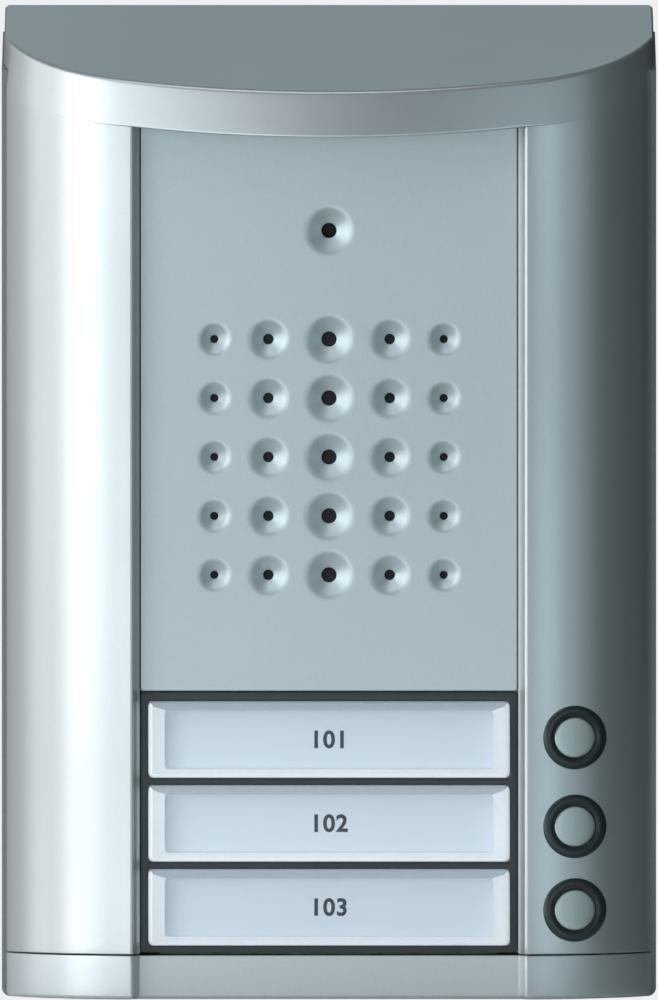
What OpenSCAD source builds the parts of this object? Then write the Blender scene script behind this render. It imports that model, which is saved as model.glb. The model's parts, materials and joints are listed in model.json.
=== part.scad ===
// Door intercom panel for a wall: rain hood, speech grille, three nameplates and three call buttons.
// X runs to the right, -Y is the front and +Z is up. The wall is the plane y = 0, and the origin is
// the middle of the four wall screws.

/* [Overall size] */
// Width over the rear housing
width = 113; // [112:0.5:115]
// Height from the lower edge to the back edge of the roof
height = 171.4; // [171:0.2:174]
// Depth at the middle of the hood
depth = 40; // [39.5:0.25:40.5]
// Depth of the rear housing, up to the edge of the front cover
housing_depth = 17.6; // [17.2:0.1:18]
// Wall thickness of the shells
wall = 2; // [1.8:0.1:2.2]

/* [Hood and wings] */
// How far the roof falls from its back edge to its front edge
roof_drop = 15.2; // [14:0.1:16]
// Height of the hood's front band
hood_band = 8; // [7:0.1:9]
// Radius of the hood's wide front arc, seen from above
hood_r = 138; // [134:1:142]
// Radius of the rounded sides, seen from above
corner_r = 29.8; // [29.6:0.1:30]
// Radius of the wings' inner stretch, seen from above
wing_r = 30.2; // [29.5:0.1:31]
// Angle at which a wing leaves the side arc
wing_turn = 35.8; // [35:0.1:36.6]
// How much flatter a wing starts there than the hood above it
wing_kink = 4.7; // [4:0.1:5]
// Half-width of the front cover, so that a rim of the rear housing shows beside it
cover_half = 55.7; // [55.4:0.1:55.9]
// Half-width of the roof over the rear housing
roof_half = 56.1; // [55.9:0.1:56.3]
// Thickness of the roof at its side and back lips
roof_lip = 4.6; // [4:0.1:5]

/* [Centre recess] */
// Half-width of the recess at the level of the panel
recess_half = 32.6; // [32.4:0.1:32.8]
// Depth of the speaker panel's face
panel_y = -32; // [-32.2:0.1:-31.8]
// Thickness of the speaker panel
panel_t = 2; // [1.8:0.1:2.2]
// Depth of the seat that the panel and the nameplate frame rest on
seat_y = -28; // [-28.1:0.1:-27.9]
// Sideways lean of the recess walls for each millimetre forward
lean = 0.48; // [0.4:0.02:0.55]
// Chamfer on the wings' inner edges
edge_cut = 0.6; // [0.4:0.1:0.8]
// Height of the bottom cap
cap_h = 7.55; // [7.4:0.05:7.7]

/* [Speech grille] */
// Side offset of the three kinds of column: middle, inner and outer
column_x = [0, 10.45, 19.75];
// Radius of the dimple in each kind of column
dimple_r = [4.3, 3.6, 2.9];
// Radius of the hole in each kind of column
hole_r = [1.3, 0.9, 0.7];
// Distance between rows
row_pitch = 10.15; // [10:0.05:10.3]
// Number of rows
rows = 5; // [5:1:5]
// Height of the middle row
grille_z = 7.65; // [7.3:0.05:8]
// Height of the microphone hole
mic_z = 46.65; // [46.3:0.05:47]
// Depth of a dimple
dimple_depth = 1.1; // [0.9:0.1:1.3]

/* [Nameplates] */
// Heights of the three nameplates' middles
plate_z = [-41, -55.45, -69.9];
// Width of a window
window_w = 62.2; // [61.8:0.1:62.4]
// Height of a window
window_h = 13.1; // [12.9:0.1:13.2]
// Width of a name card
card_w = 56.6; // [56:0.1:57]
// Height of a name card
card_h = 10.2; // [10:0.1:10.4]

/* [Call buttons] */
// Side offset of the buttons
button_x = 42.35; // [42.2:0.05:42.5]
// Heights of the three buttons
button_z = [-40.65, -55.95, -70.35];
// Radius of a button cap
button_r = 3.55; // [3.5:0.01:3.58]
// Outer radius of a button's ring
ring_r = 5.53; // [5.4:0.01:5.6]
// Travel of a button
travel = 1; // [0.8:0.1:1]

/* [Wall fixing] */
// Distance between the wall screws across the object
screw_x = 80; // [78:1:82]
// Distance between the wall screws up the object
screw_z = 130; // [128:1:132]
// Radius of a wall screw hole
screw_r = 2.25; // [2:0.05:2.5]
// Radius of the cable opening in the grommet
cable_r = 4; // [3.5:0.1:4.5]
// Height of the cable entry
cable_z = -38; // [-39:0.5:-37]

/* [Hidden] */
$fn = 96;

// Outline
half_w = width / 2;
top_z = height / 2;
bottom_z = -height / 2;
slope = roof_drop / depth;
skin = wall / cos(atan(slope));
cover_z = bottom_z + cap_h + 0.2;
cap_z = bottom_z + cap_h;
// Directions in which the wide arc ends and the side arc starts, each seen from its own centre
wide_end = [0.28, -0.96];
side_start = [0.352, -0.936];
wing_x = corner_at(0)[0] + corner_r * sin(wing_turn) - wing_r * sin(wing_turn - wing_kink);
wing_y = corner_at(0)[1] - corner_r * cos(wing_turn) + wing_r * cos(wing_turn - wing_kink);
wing_from = 30;
far = 200;
arc_fn = 360;

// Inner edge of a wing, where the leaning wall meets the wing's arc
step_foot = [recess_half, panel_y];
step_dir = [lean, -1] / norm([lean, -1]);
foot_from = step_foot - [wing_x, wing_y];
foot_dot = foot_from * step_dir;
edge_tip = step_foot + step_dir * (sqrt(foot_dot * foot_dot - foot_from * foot_from + wing_r * wing_r) - foot_dot);
edge_out = (edge_tip - [wing_x, wing_y]) / wing_r;
edge_along = [-edge_out[1], edge_out[0]];

// Rear housing
floor_t = 2.5;
rim_t = 2;
rim_half = 50.4;
tongue_t = 1.5;
tongue_h = 1.2;
tongue_low = bottom_z + 4.2;
tongue_top = 70;
housing_gap = 0.2;
housing_corner = 1.5;
gasket_w = 2;
gasket_t = 1.2;
gasket_inset = 2.5;
grommet_r = 7;
grommet_flange = 9;
grommet_lip = 1;
lug_w = 14;
lug_front = -26.3;
lug_top = -77.5;
lug_bottom = -81.2;
lock_y = -22.5;
lock_r = 2;
lock_head_r = 3.6;
lock_head_h = 2.2;

// Front cover
flange_t = 1.5;
opening_half = 29;
opening_z = [-76.3, 60];
collar_t = 1.25;
collar_gap = 0.15;
collar_h = 2.3;
boss_r = 3;
boss_at = [[-45.5, 52], [45.5, 52], [-45.5, -72.3], [45.5, -24]];

// Speaker panel and what it carries
panel_half = recess_half - 0.15;
panel_z = [-32.65, 64.9];
panel_back = panel_y + panel_t;
panel_rib = 1.5;
speaker_r = 28.5;
membrane_t = 0.3;
basket_y = -28.6;
clamp_reach = 24.6;
clamp_boss_r = 2.4;
clamp_boss_y = -27.4;
capsule_r = 4.85;
boot_r = 6.5;
boot_depth = 6;
lead_r = 0.35;
lead_x = 1.27;

// Nameplates
frame_y = -31.6;
frame_z = [-77.75, -32.75];
window_y = -32.5;
window_back = -30.2;
window_gap = 0.1;
window_bevel = 0.7;
card_t = 0.4;
diffuser_back = -28.2;
diffuser_half = 31.4;
box_half = 28.8;
box_wall = 1.2;
box_z = [-76, -34.4];
chamber_half = 5.4;
led_x = [-20, 0, 20];

// Button train, from front to back
ring_bore = button_r + 0.08;
ring_rise = 0.5;
sleeve_r = 4.7;
sleeve_back = -26;
cap_back = -27.2;
collar_y = [-25.9, -24.9];
stem_r = 1.5;
stem_back = -16.6;
guide_y = [-19.4, -17.9];
plunger_r = 1.2;
plunger_back = -13.4;
switch_front = -15.4;
switch_size = 8.4;
spring_r = 2.7;
wire_r = 0.25;
spring_turns = 5;
spring_steps = 14;
spring_sides = 8;

// Main board
board_y = [-11.6, -10];
board_half = 49;
board_z = [-80, 58];
trimmer_at = [[-34, 10], [-34, 24]];
terminal_z = -62;
terminal_pitch = 5;
terminal_poles = 6;

// Height of the roof's surface at depth y
function roof_z(y) = top_z + slope * y;

// Centre of the side arc in a plan drawn in evenly by inset
function corner_at(inset) =
    [0, hood_r - depth] + (hood_r - inset) * wide_end - (corner_r - inset) * side_start;

// A round bar along Y between two depths
module bar_y(r, y0, y1, fn = 96) {
    translate([0, y1, 0]) rotate([90, 0, 0]) cylinder(r = r, h = y1 - y0, $fn = fn);
}

// A tube along Y between two depths
module tube_y(r_out, r_in, y0, y1) {
    difference() {
        bar_y(r_out, y0, y1);
        bar_y(r_in, y0 - 1, y1 + 1);
    }
}

// A block from its lowest to its highest corner
module block(low, high) {
    translate(low) cube(high - low);
}

// Space between two planes parallel to the roof, that lie upper and lower below it
module slanted(upper, lower, y0, y1, w) {
    rotate([90, 0, 90]) translate([0, 0, -w / 2]) linear_extrude(height = w) polygon([
        [y0, roof_z(y0) - upper], [y1, roof_z(y1) - upper], [y1, roof_z(y1) - lower], [y0, roof_z(y0) - lower]
    ]);
}

// Plan of the hood in front of the rear housing, drawn in evenly by inset
module hood_plan(inset = 0) {
    blend = (hood_r - inset) * wide_end[0];
    intersection() {
        union() {
            intersection() {
                translate([0, hood_r - depth]) circle(r = hood_r - inset, $fn = arc_fn);
                translate([-blend, -depth]) square([2 * blend, depth]);
            }
            for (side = [0, 1]) mirror([side, 0]) intersection() {
                translate(corner_at(inset)) circle(r = corner_r - inset, $fn = arc_fn);
                translate([blend, -depth]) square([half_w, depth]);
            }
        }
        translate([inset - cover_half, -depth]) square([2 * (cover_half - inset), depth - housing_depth]);
    }
}

// Plan of both wings in front of the rear housing, drawn in evenly by inset
module wing_plan(inset = 0) {
    for (side = [0, 1]) mirror([side, 0]) intersection() {
        translate(corner_at(inset)) circle(r = corner_r - inset, $fn = arc_fn);
        translate([wing_x, wing_y]) circle(r = wing_r - inset, $fn = arc_fn);
        translate([wing_from, -depth]) square([cover_half - inset - wing_from, depth - housing_depth]);
    }
}

// Plan of the recess between the wings, down to depth back, widened by grow
module recess_plan(back, grow = 0) {
    foot = recess_half + grow;
    mouth = foot + lean * (depth + panel_y);
    polygon([[-foot, back], [foot, back], [foot, panel_y], [mouth, -depth], [-mouth, -depth], [-foot, panel_y]]);
}

// What the chamfer takes off the inner edge of both wings
module edge_waste() {
    for (side = [0, 1]) mirror([side, 0])
        polygon([edge_tip - edge_cut * step_dir, edge_tip + [0, -1], edge_tip + edge_cut * edge_along]);
}

// Outer plan of the wings and of the centre behind depth back
module body_plan(back) {
    difference() {
        union() {
            wing_plan();
            translate([-wing_from, back]) square([2 * wing_from, -housing_depth - back]);
        }
        recess_plan(back);
        edge_waste();
    }
}

// Hollow inside the wings, inset from their surface, joined behind depth back
module hollow_plan(inset, back) {
    difference() {
        wing_plan(inset);
        recess_plan(-housing_depth + 1, inset * 1.1);
    }
    translate([-wing_from - inset - 4, back])
        square([2 * (wing_from + inset + 4), -housing_depth - back]);
}

module rear_housing() {
    color("dimgray") difference() {
        union() {
            intersection() {
                slanted(roof_lip + housing_gap, far * 2, -housing_depth, 0, width);
                rotate([90, 0, 0]) linear_extrude(height = housing_depth) housing_outline();
            }
            for (side = [-1, 1]) tongue_side(side);
            block(
                [-rim_half, -housing_depth - tongue_h, tongue_low],
                [rim_half, -housing_depth + 1, tongue_low + tongue_t]
            );
            block([-lug_w / 2, lug_front, lug_bottom], [lug_w / 2, -housing_depth + rim_t, lug_top]);
        }
        // Inside, behind the front rim
        intersection() {
            slanted(roof_lip + housing_gap + skin, far * 2, -housing_depth + rim_t, -floor_t, 2 * (half_w - wall));
            block([-half_w + wall, -housing_depth + rim_t, bottom_z + wall], [half_w - wall, -floor_t, far]);
        }
        // Mouth inside the front rim
        intersection() {
            slanted(roof_lip + housing_gap + skin, far * 2, -housing_depth - 1, -floor_t - 1, 2 * rim_half);
            difference() {
                block(
                    [-rim_half, -housing_depth - 1, tongue_low + tongue_t],
                    [rim_half, -housing_depth + rim_t + 0.5, far]
                );
                block([-lug_w / 2, -depth, -far], [lug_w / 2, 0, lug_top]);
            }
        }
        for (x = [-screw_x / 2, screw_x / 2], z = [-screw_z / 2, screw_z / 2])
            translate([x, 0, z]) bar_y(screw_r, -floor_t - 1, 1);
        translate([0, 0, cable_z]) bar_y(grommet_r, -floor_t - 1, 1);
        translate([0, 0, cable_z]) bar_y(grommet_flange + 0.2, -grommet_lip, 1);
        rotate([90, 0, 0]) translate([0, 0, -1]) linear_extrude(height = gasket_t + 1) gasket_outline();
        translate([0, lock_y, lug_bottom - 1]) cylinder(r = lock_r, h = lug_top - lug_bottom + 2);
    }
}

// Back view of the rear housing with its two rounded lower corners
module housing_outline() {
    for (x = [-1, 1]) translate([x * (half_w - housing_corner), bottom_z + housing_corner])
        circle(r = housing_corner);
    translate([-half_w, bottom_z + housing_corner]) square([width, height]);
    translate([-half_w + housing_corner, bottom_z]) square([width - 2 * housing_corner, housing_corner * 2]);
}

// Tongue that guides one long side of the front cover
module tongue_side(side) {
    x = side * (rim_half + tongue_t / 2);
    block(
        [x - tongue_t / 2, -housing_depth - tongue_h, cover_z],
        [x + tongue_t / 2, -housing_depth + 1, tongue_top]
    );
}

// Ring of the wall gasket, seen from behind
module gasket_outline() {
    inset = gasket_inset;
    high = top_z - roof_lip - inset - 2;
    low = bottom_z + inset;
    difference() {
        translate([-half_w + inset, low]) square([width - 2 * inset, high - low]);
        translate([-half_w + inset + gasket_w, low + gasket_w])
            square([width - 2 * (inset + gasket_w), high - low - 2 * gasket_w]);
    }
}

module wall_gasket() {
    color("black") rotate([90, 0, 0]) linear_extrude(height = gasket_t) gasket_outline();
}

module cable_grommet() {
    color("black") translate([0, 0, cable_z]) difference() {
        union() {
            bar_y(grommet_flange, -grommet_lip, 0);
            bar_y(grommet_r, -floor_t, 0);
            bar_y(grommet_flange - 0.5, -floor_t - 1.2, -floor_t);
        }
        bar_y(cable_r, -floor_t - 2, 1);
    }
}

module cover_seal() {
    seal_in = rim_half + tongue_t + 0.05;
    seal_out = 53.2;
    color("black") for (side = [0, 1]) mirror([side, 0, 0])
        block([seal_in, -housing_depth - 0.8, cover_z], [seal_out, -housing_depth, tongue_top]);
}

module front_cover() {
    color("silver") difference() {
        union() {
            difference() {
                cover_body();
                cover_hollow();
            }
            cover_bosses();
        }
        for (at = boss_at) translate([at[0], 0, at[1]]) bar_y(1.3, -22, 0);
        for (z = button_z) translate([button_x, 0, z]) bar_y(sleeve_r, -depth, sleeve_back + 2);
    }
}

// Outer form: wings and centre up into the hood, the hood's band, and the roof over the rear housing
module cover_body() {
    intersection() {
        translate([0, 0, cover_z]) linear_extrude(height = height) body_plan(seat_y);
        slanted(hood_band, far * 2, -depth, 0, width);
    }
    intersection() {
        linear_extrude(height = height) hood_plan();
        slanted(0, hood_band, -depth, 0, width);
    }
    slanted(0, roof_lip, -housing_depth, 0, 2 * roof_half);
}

module cover_hollow() {
    intersection() {
        translate([0, 0, cover_z - 1]) linear_extrude(height = height) hollow_plan(wall, seat_y + flange_t);
        slanted(skin, far * 2, -depth, 0, width);
    }
    intersection() {
        linear_extrude(height = height) hood_plan(wall);
        slanted(skin, hood_band - skin, -depth, 0, width);
    }
    slanted(skin, hood_band, -housing_depth - 1, -wall, 2 * (roof_half - wall));
    block([-opening_half, seat_y - 1, opening_z[0]], [opening_half, seat_y + flange_t + 1, opening_z[1]]);
}

// Pillars for the main board, ending inside the wings' walls
module cover_bosses() {
    for (at = boss_at) intersection() {
        translate([at[0], 0, at[1]]) bar_y(boss_r, -depth, board_y[0]);
        union() {
            translate([0, 0, -height]) linear_extrude(height = 2 * height) wing_plan(wall / 2);
            block([-half_w, -housing_depth, -height], [half_w, 0, height]);
        }
    }
}

module bottom_cap() {
    color("silver") difference() {
        union() {
            translate([0, 0, bottom_z]) linear_extrude(height = cap_h) body_plan(panel_y);
            translate([0, 0, bottom_z + 1]) linear_extrude(height = cap_h - 1 + collar_h) cap_collar_plan();
        }
        translate([0, 0, bottom_z + wall + 0.5]) linear_extrude(height = height) cap_hollow_plan();
        translate([0, lock_y, bottom_z - 1]) cylinder(r = lock_r + 0.2, h = 10);
        translate([0, lock_y, bottom_z - 1]) cylinder(r = lock_head_r + 0.1, h = 1 + lock_head_h);
    }
}

// Band inside the wings' walls that guides the cap in the front cover
module cap_collar_plan() {
    difference() {
        wing_plan(wall + collar_gap);
        wing_plan(wall + collar_gap + collar_t);
        recess_plan(-housing_depth + 1, 4);
        translate([-half_w, -21]) square([width, 10]);
    }
}

module cap_hollow_plan() {
    difference() {
        wing_plan(wall + collar_gap + collar_t);
        recess_plan(-housing_depth + 1, 2.4);
    }
    translate([-wing_from - 5, panel_y + wall]) square([2 * wing_from + 10, -housing_depth - panel_y - wall]);
}

module lock_screw() {
    color("lightgray") difference() {
        union() {
            translate([0, lock_y, bottom_z]) cylinder(r = lock_head_r, h = lock_head_h);
            translate([0, lock_y, bottom_z]) cylinder(r = lock_r - 0.05, h = lug_top - bottom_z);
        }
        translate([0, lock_y, bottom_z - 1]) cylinder(r = 1.4, h = 2.2, $fn = 6);
    }
}

// Where every sound hole is: side offset, height and kind of column
function grille_holes() = [
    for (kind = [0:2], side = [-1, 1], row = [0:rows - 1]) if (kind > 0 || side > 0)
        [side * column_x[kind], grille_z + (row - (rows - 1) / 2) * row_pitch, kind]
];

// A dimple with its hole through the panel
module sound_hole(kind) {
    bar_y(hole_r[kind], panel_y - 1, panel_back + 1);
    translate([0, panel_y + dimple_depth, 0]) rotate([90, 0, 0])
        cylinder(r1 = hole_r[kind], r2 = dimple_r[kind], h = dimple_depth);
}

module speaker_panel() {
    color("lightsteelblue") difference() {
        union() {
            block([-panel_half, panel_y, panel_z[0]], [panel_half, panel_back, panel_z[1]]);
            difference() {
                block([-panel_half, panel_y, panel_z[0]], [panel_half, seat_y, panel_z[1]]);
                block(
                    [-panel_half + panel_rib, panel_y, panel_z[0] + panel_rib],
                    [panel_half - panel_rib, 0, panel_z[1] - panel_rib]
                );
            }
            for (x = [-1, 1], z = [-1, 1]) translate([x * clamp_reach, 0, grille_z + z * clamp_reach])
                bar_y(clamp_boss_r, panel_back, clamp_boss_y);
            translate([0, 0, mic_z]) bar_y(boot_r + 1.2, panel_back, panel_back + 3.5);
        }
        translate([0, 0, mic_z]) bar_y(boot_r, panel_back, 0);
        translate([0, 0, mic_z]) sound_hole(0);
        for (hole = grille_holes()) translate([hole[0], 0, hole[1]]) sound_hole(hole[2]);
        for (x = [-1, 1], z = [-1, 1]) translate([x * clamp_reach, 0, grille_z + z * clamp_reach])
            bar_y(0.85, panel_back + 0.6, 0);
        slanted(-far, hood_band + 0.15, -depth, 0, width);
    }
}

module acoustic_membrane() {
    color("darkslategray") translate([0, 0, grille_z]) bar_y(speaker_r, panel_back, panel_back + membrane_t);
}

module speaker_gasket() {
    color("black") translate([0, 0, grille_z]) tube_y(speaker_r, 25.6, panel_back + membrane_t, basket_y);
}

module speaker_basket() {
    color("gray") translate([0, 0, grille_z]) difference() {
        rotate([90, 0, 0]) rotate_extrude() polygon([
            [25.4, -basket_y], [speaker_r, -basket_y], [speaker_r, -basket_y - 1.2], [25.8, -basket_y - 1.2],
            [24.6, -basket_y - 3.2], [14, 19], [10.2, 19], [10.2, 20], [13.2, 20], [23.2, -basket_y - 2.6]
        ]);
        for (turn_by = [0:60:300]) rotate([0, turn_by, 0]) translate([19, 0, 0]) bar_y(2.6, -40, 0);
    }
}

module speaker_magnet() {
    color("dimgray") translate([0, 0, grille_z]) {
        bar_y(12.5, -19, -16.2);
        bar_y(13.5, -16.2, -13.6);
    }
}

module speaker_cone() {
    color("black") translate([0, 0, grille_z]) rotate([90, 0, 0]) rotate_extrude() polygon([
        [0, 22.6], [7, 21.2], [22.4, 27.2], [24.15, 27.2], [24.15, 27.6], [22.2, 27.6], [7.4, 21.9],
        [5, 23.6], [0, 24.6]
    ]);
}

module speaker_clamps() {
    color("silver") for (turn_by = [45:90:315]) translate([0, 0, grille_z]) rotate([0, turn_by, 0])
        difference() {
            block([26.2, clamp_boss_y, -2.5], [37.2, clamp_boss_y + 0.8, 2.5]);
            translate([clamp_reach * sqrt(2), 0, 0]) bar_y(1, -40, 0);
        }
}

module speaker_screws() {
    color("lightgray") for (turn_by = [45:90:315]) translate([0, 0, grille_z]) rotate([0, turn_by, 0])
        translate([clamp_reach * sqrt(2), 0, 0]) difference() {
            union() {
                bar_y(1.9, clamp_boss_y + 0.8, clamp_boss_y + 2);
                bar_y(0.8, panel_back + 0.8, clamp_boss_y + 1);
            }
            block([-2.5, clamp_boss_y + 1.4, -0.25], [2.5, clamp_boss_y + 3, 0.25]);
        }
}

module microphone_capsule() {
    color("silver") translate([0, 0, mic_z]) bar_y(capsule_r, panel_back + 1, panel_back + 5.5);
}

module microphone_boot() {
    color("black") translate([0, 0, mic_z]) difference() {
        bar_y(boot_r, panel_back, panel_back + boot_depth);
        bar_y(capsule_r, panel_back + 1, panel_back + boot_depth - 0.5);
        bar_y(1.5, panel_back - 1, panel_back + 2);
        bar_y(3.2, panel_back + 3, 0);
    }
}

module microphone_leads() {
    color("gold") for (x = [-lead_x, lead_x]) translate([x, 0, mic_z])
        bar_y(lead_r, panel_back + 5.5, board_y[0]);
}

module nameplate_frame() {
    color("darkslategray") difference() {
        block([-panel_half, frame_y, frame_z[0]], [panel_half, seat_y, frame_z[1]]);
        for (z = plate_z) block(
            [-window_w / 2 - window_gap, frame_y - 1, z - window_h / 2 - window_gap],
            [window_w / 2 + window_gap, 0, z + window_h / 2 + window_gap]
        );
        block([-diffuser_half, window_back, frame_z[0] + 1], [diffuser_half, 0, frame_z[1] - 1]);
    }
}

// A clear window with bevelled front edges and a pocket for its card
module window(i) {
    z = plate_z[i - 1];
    color("lightcyan") difference() {
        block([-window_w / 2, window_y, z - window_h / 2], [window_w / 2, window_back, z + window_h / 2]);
        block([-card_w / 2 - 0.1, window_back - card_t, z - card_h / 2 - 0.1], [card_w / 2 + 0.1, 0, z + card_h / 2 + 0.1]);
        for (side = [0, 1]) {
            translate([0, 0, z]) mirror([0, 0, side]) translate([0, window_y, window_h / 2]) rotate([45, 0, 0])
                cube([width, window_bevel, window_bevel], center = true);
            translate([0, 0, z]) mirror([side, 0, 0]) translate([window_w / 2, window_y, 0]) rotate([0, 0, 45])
                cube([window_bevel, window_bevel, width], center = true);
        }
    }
}

module name_card(i) {
    z = plate_z[i - 1];
    color("white")
        block([-card_w / 2, window_back - card_t, z - card_h / 2], [card_w / 2, window_back, z + card_h / 2]);
}

module light_diffuser() {
    color("white") block(
        [-diffuser_half + 0.1, window_back, frame_z[0] + 1.1],
        [diffuser_half - 0.1, diffuser_back, frame_z[1] - 1.1]
    );
}

module light_box() {
    color("whitesmoke") difference() {
        union() {
            block([-box_half, seat_y, box_z[0]], [box_half, board_y[0], box_z[1]]);
            block([-diffuser_half + 0.1, diffuser_back, frame_z[0] + 1.1], [diffuser_half - 0.1, seat_y, frame_z[1] - 1.1]);
        }
        for (z = plate_z) block(
            [-box_half + box_wall, diffuser_back - 1, z - chamber_half],
            [box_half - box_wall, 0, z + chamber_half]
        );
    }
}

module backlight_leds() {
    color("ivory") for (x = led_x, z = plate_z) translate([x, 0, z]) {
        block([-1.75, board_y[0] - 1.2, -1.4], [1.75, board_y[0], 1.4]);
        bar_y(1.1, board_y[0] - 1.8, board_y[0] - 1);
    }
}

// Dark ring around a button: a bezel that follows the wing's surface, on a sleeve through the wing
module button_ring(i) {
    z = button_z[i - 1];
    color("darkslategray") difference() {
        intersection() {
            translate([button_x, 0, z]) bar_y(ring_r, -depth, sleeve_back);
            translate([0, 0, z - 10]) linear_extrude(height = 20) wing_plan(-ring_rise);
            union() {
                translate([0, 0, z - 10]) linear_extrude(height = 20) difference() {
                    wing_plan(-ring_rise);
                    wing_plan();
                }
                translate([button_x, 0, z]) bar_y(sleeve_r, -depth, sleeve_back);
            }
        }
        translate([button_x, 0, z]) bar_y(ring_bore, -depth - 1, 0);
    }
}

// Metal cap whose face continues the wing's surface
module button_cap(i) {
    z = button_z[i - 1];
    color("silver") difference() {
        intersection() {
            translate([button_x, 0, z]) bar_y(button_r, -depth, cap_back);
            translate([0, 0, z - 10]) linear_extrude(height = 20) wing_plan(-0.1);
        }
        translate([button_x, 0, z]) bar_y(stem_r, cap_back - 1.6, 0);
    }
}

module button_stem(i) {
    color("white") translate([button_x, 0, button_z[i - 1]]) {
        bar_y(stem_r, cap_back - 1.6, stem_back);
        bar_y(button_r - 0.15, cap_back, collar_y[0]);
        bar_y(4.5, collar_y[0], collar_y[1]);
    }
}

// Return spring: a wire swept along a helix between the stem's collar and the guide
module button_spring(i) {
    rings = spring_turns * spring_steps;
    y_front = collar_y[1] + wire_r + 0.05;
    y_back = guide_y[0] - wire_r - 0.05;
    points = [
        for (k = [0:rings], s = [0:spring_sides - 1])
            let (
                a = 360 * k / spring_steps,
                b = 360 * s / spring_sides,
                r = spring_r + wire_r * cos(b)
            )
            [r * cos(a), y_front + (y_back - y_front) * k / rings + wire_r * sin(b), r * sin(a)]
    ];
    sides = [
        for (k = [0:rings - 1], s = [0:spring_sides - 1])
            let (next = (s + 1) % spring_sides)
            [k * spring_sides + s, k * spring_sides + next, (k + 1) * spring_sides + next, (k + 1) * spring_sides + s]
    ];
    ends = [
        [for (s = [spring_sides - 1:-1:0]) s],
        [for (s = [0:spring_sides - 1]) rings * spring_sides + s]
    ];
    color("silver") translate([button_x, 0, button_z[i - 1]])
        polyhedron(points = points, faces = concat(sides, ends), convexity = 6);
}

module switch_plunger(i) {
    color("black") translate([button_x, 0, button_z[i - 1]]) bar_y(plunger_r, stem_back, plunger_back);
}

module key_switches() {
    color("dimgray") for (z = button_z) translate([button_x, 0, z]) difference() {
        block([-switch_size / 2, switch_front, -switch_size / 2], [switch_size / 2, board_y[0], switch_size / 2]);
        bar_y(plunger_r + 0.05, switch_front - 1, plunger_back + travel + 0.1);
    }
}

module button_guide() {
    color("ivory") difference() {
        union() {
            block([button_x - 5.8, guide_y[0], -79], [button_x + 5.6, guide_y[1], -31.5]);
            for (z = [-33.3, -77.6]) translate([button_x, 0, z]) bar_y(1.3, guide_y[1], board_y[0]);
        }
        for (z = button_z) translate([button_x, 0, z]) bar_y(stem_r + 0.05, guide_y[0] - 1, guide_y[1] + 1);
    }
}

module main_board() {
    color("darkgreen") difference() {
        block([-board_half, board_y[0], board_z[0]], [board_half, board_y[1], board_z[1]]);
        for (at = boss_at) translate([at[0], 0, at[1]]) bar_y(1.6, board_y[0] - 1, 0);
    }
}

module board_screws() {
    color("lightgray") for (at = boss_at) translate([at[0], 0, at[1]]) difference() {
        union() {
            bar_y(2.8, board_y[1], board_y[1] + 1.8);
            bar_y(1.25, -19, board_y[1] + 1);
        }
        block([-4, board_y[1] + 1, -0.35], [4, 0, 0.35]);
        block([-0.35, board_y[1] + 1, -4], [0.35, 0, 4]);
    }
}

module circuit_chips() {
    color("black") {
        block([-12, board_y[1], -6], [2, board_y[1] + 1.8, 8]);
        block([14, board_y[1], 0], [22, board_y[1] + 1.5, 5]);
        block([14, board_y[1], 12], [24, board_y[1] + 1.5, 18]);
    }
}

module capacitors() {
    color("slateblue") for (x = [-20, -8, 4]) translate([x, 0, 40]) bar_y(4, board_y[1], board_y[1] + 7);
}

module relay() {
    color("steelblue") block([16, board_y[1], 32], [31, board_y[1] + 7, 42]);
}

module trimmer_bodies() {
    color("royalblue") for (at = trimmer_at) translate([at[0], 0, at[1]]) difference() {
        bar_y(4, board_y[1], board_y[1] + 3.6);
        bar_y(1.05, board_y[1] + 0.6, 0);
    }
}

// Slotted rotor of a volume trimmer, turning on its pin
module trimmer_rotor(i) {
    at = trimmer_at[i - 1];
    color("white") translate([at[0], 0, at[1]]) difference() {
        union() {
            bar_y(1, board_y[1] + 0.8, board_y[1] + 4);
            bar_y(2.6, board_y[1] + 3.75, board_y[1] + 5);
        }
        block([-2, board_y[1] + 4.4, -0.35], [2, 0, 0.35]);
    }
}

module terminal_block() {
    long = terminal_poles * terminal_pitch;
    color("seagreen") difference() {
        block([-long / 2, board_y[1], terminal_z - 5], [long / 2, board_y[1] + 6.8, terminal_z + 5]);
        for (x = [0:terminal_poles - 1]) translate([(x + 0.5) * terminal_pitch - long / 2, 0, terminal_z]) {
            bar_y(1.9, board_y[1] + 3.6, 0);
            translate([0, board_y[1] + 2.6, -6]) cylinder(r = 1.5, h = 6);
        }
    }
}

module terminal_screws() {
    long = terminal_poles * terminal_pitch;
    color("lightgray") for (x = [0:terminal_poles - 1])
        translate([(x + 0.5) * terminal_pitch - long / 2, 0, terminal_z]) difference() {
            bar_y(1.85, board_y[1] + 4.4, board_y[1] + 6.4);
            block([-3, board_y[1] + 5.7, -0.3], [3, 0, 0.3]);
        }
}

rear_housing();
wall_gasket();
cable_grommet();
cover_seal();
front_cover();
bottom_cap();
lock_screw();
speaker_panel();
acoustic_membrane();
speaker_gasket();
speaker_basket();
speaker_magnet();
speaker_cone();
speaker_clamps();
speaker_screws();
microphone_capsule();
microphone_boot();
microphone_leads();
nameplate_frame();
window(1);  // window_1
window(2);  // window_2
window(3);  // window_3
name_card(1);  // name_card_1
name_card(2);  // name_card_2
name_card(3);  // name_card_3
light_diffuser();
light_box();
backlight_leds();
button_ring(1);  // button_ring_1
button_ring(2);  // button_ring_2
button_ring(3);  // button_ring_3
button_cap(1);  // button_cap_1
button_cap(2);  // button_cap_2
button_cap(3);  // button_cap_3
button_stem(1);  // button_stem_1
button_stem(2);  // button_stem_2
button_stem(3);  // button_stem_3
button_spring(1);  // button_spring_1
button_spring(2);  // button_spring_2
button_spring(3);  // button_spring_3
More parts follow.
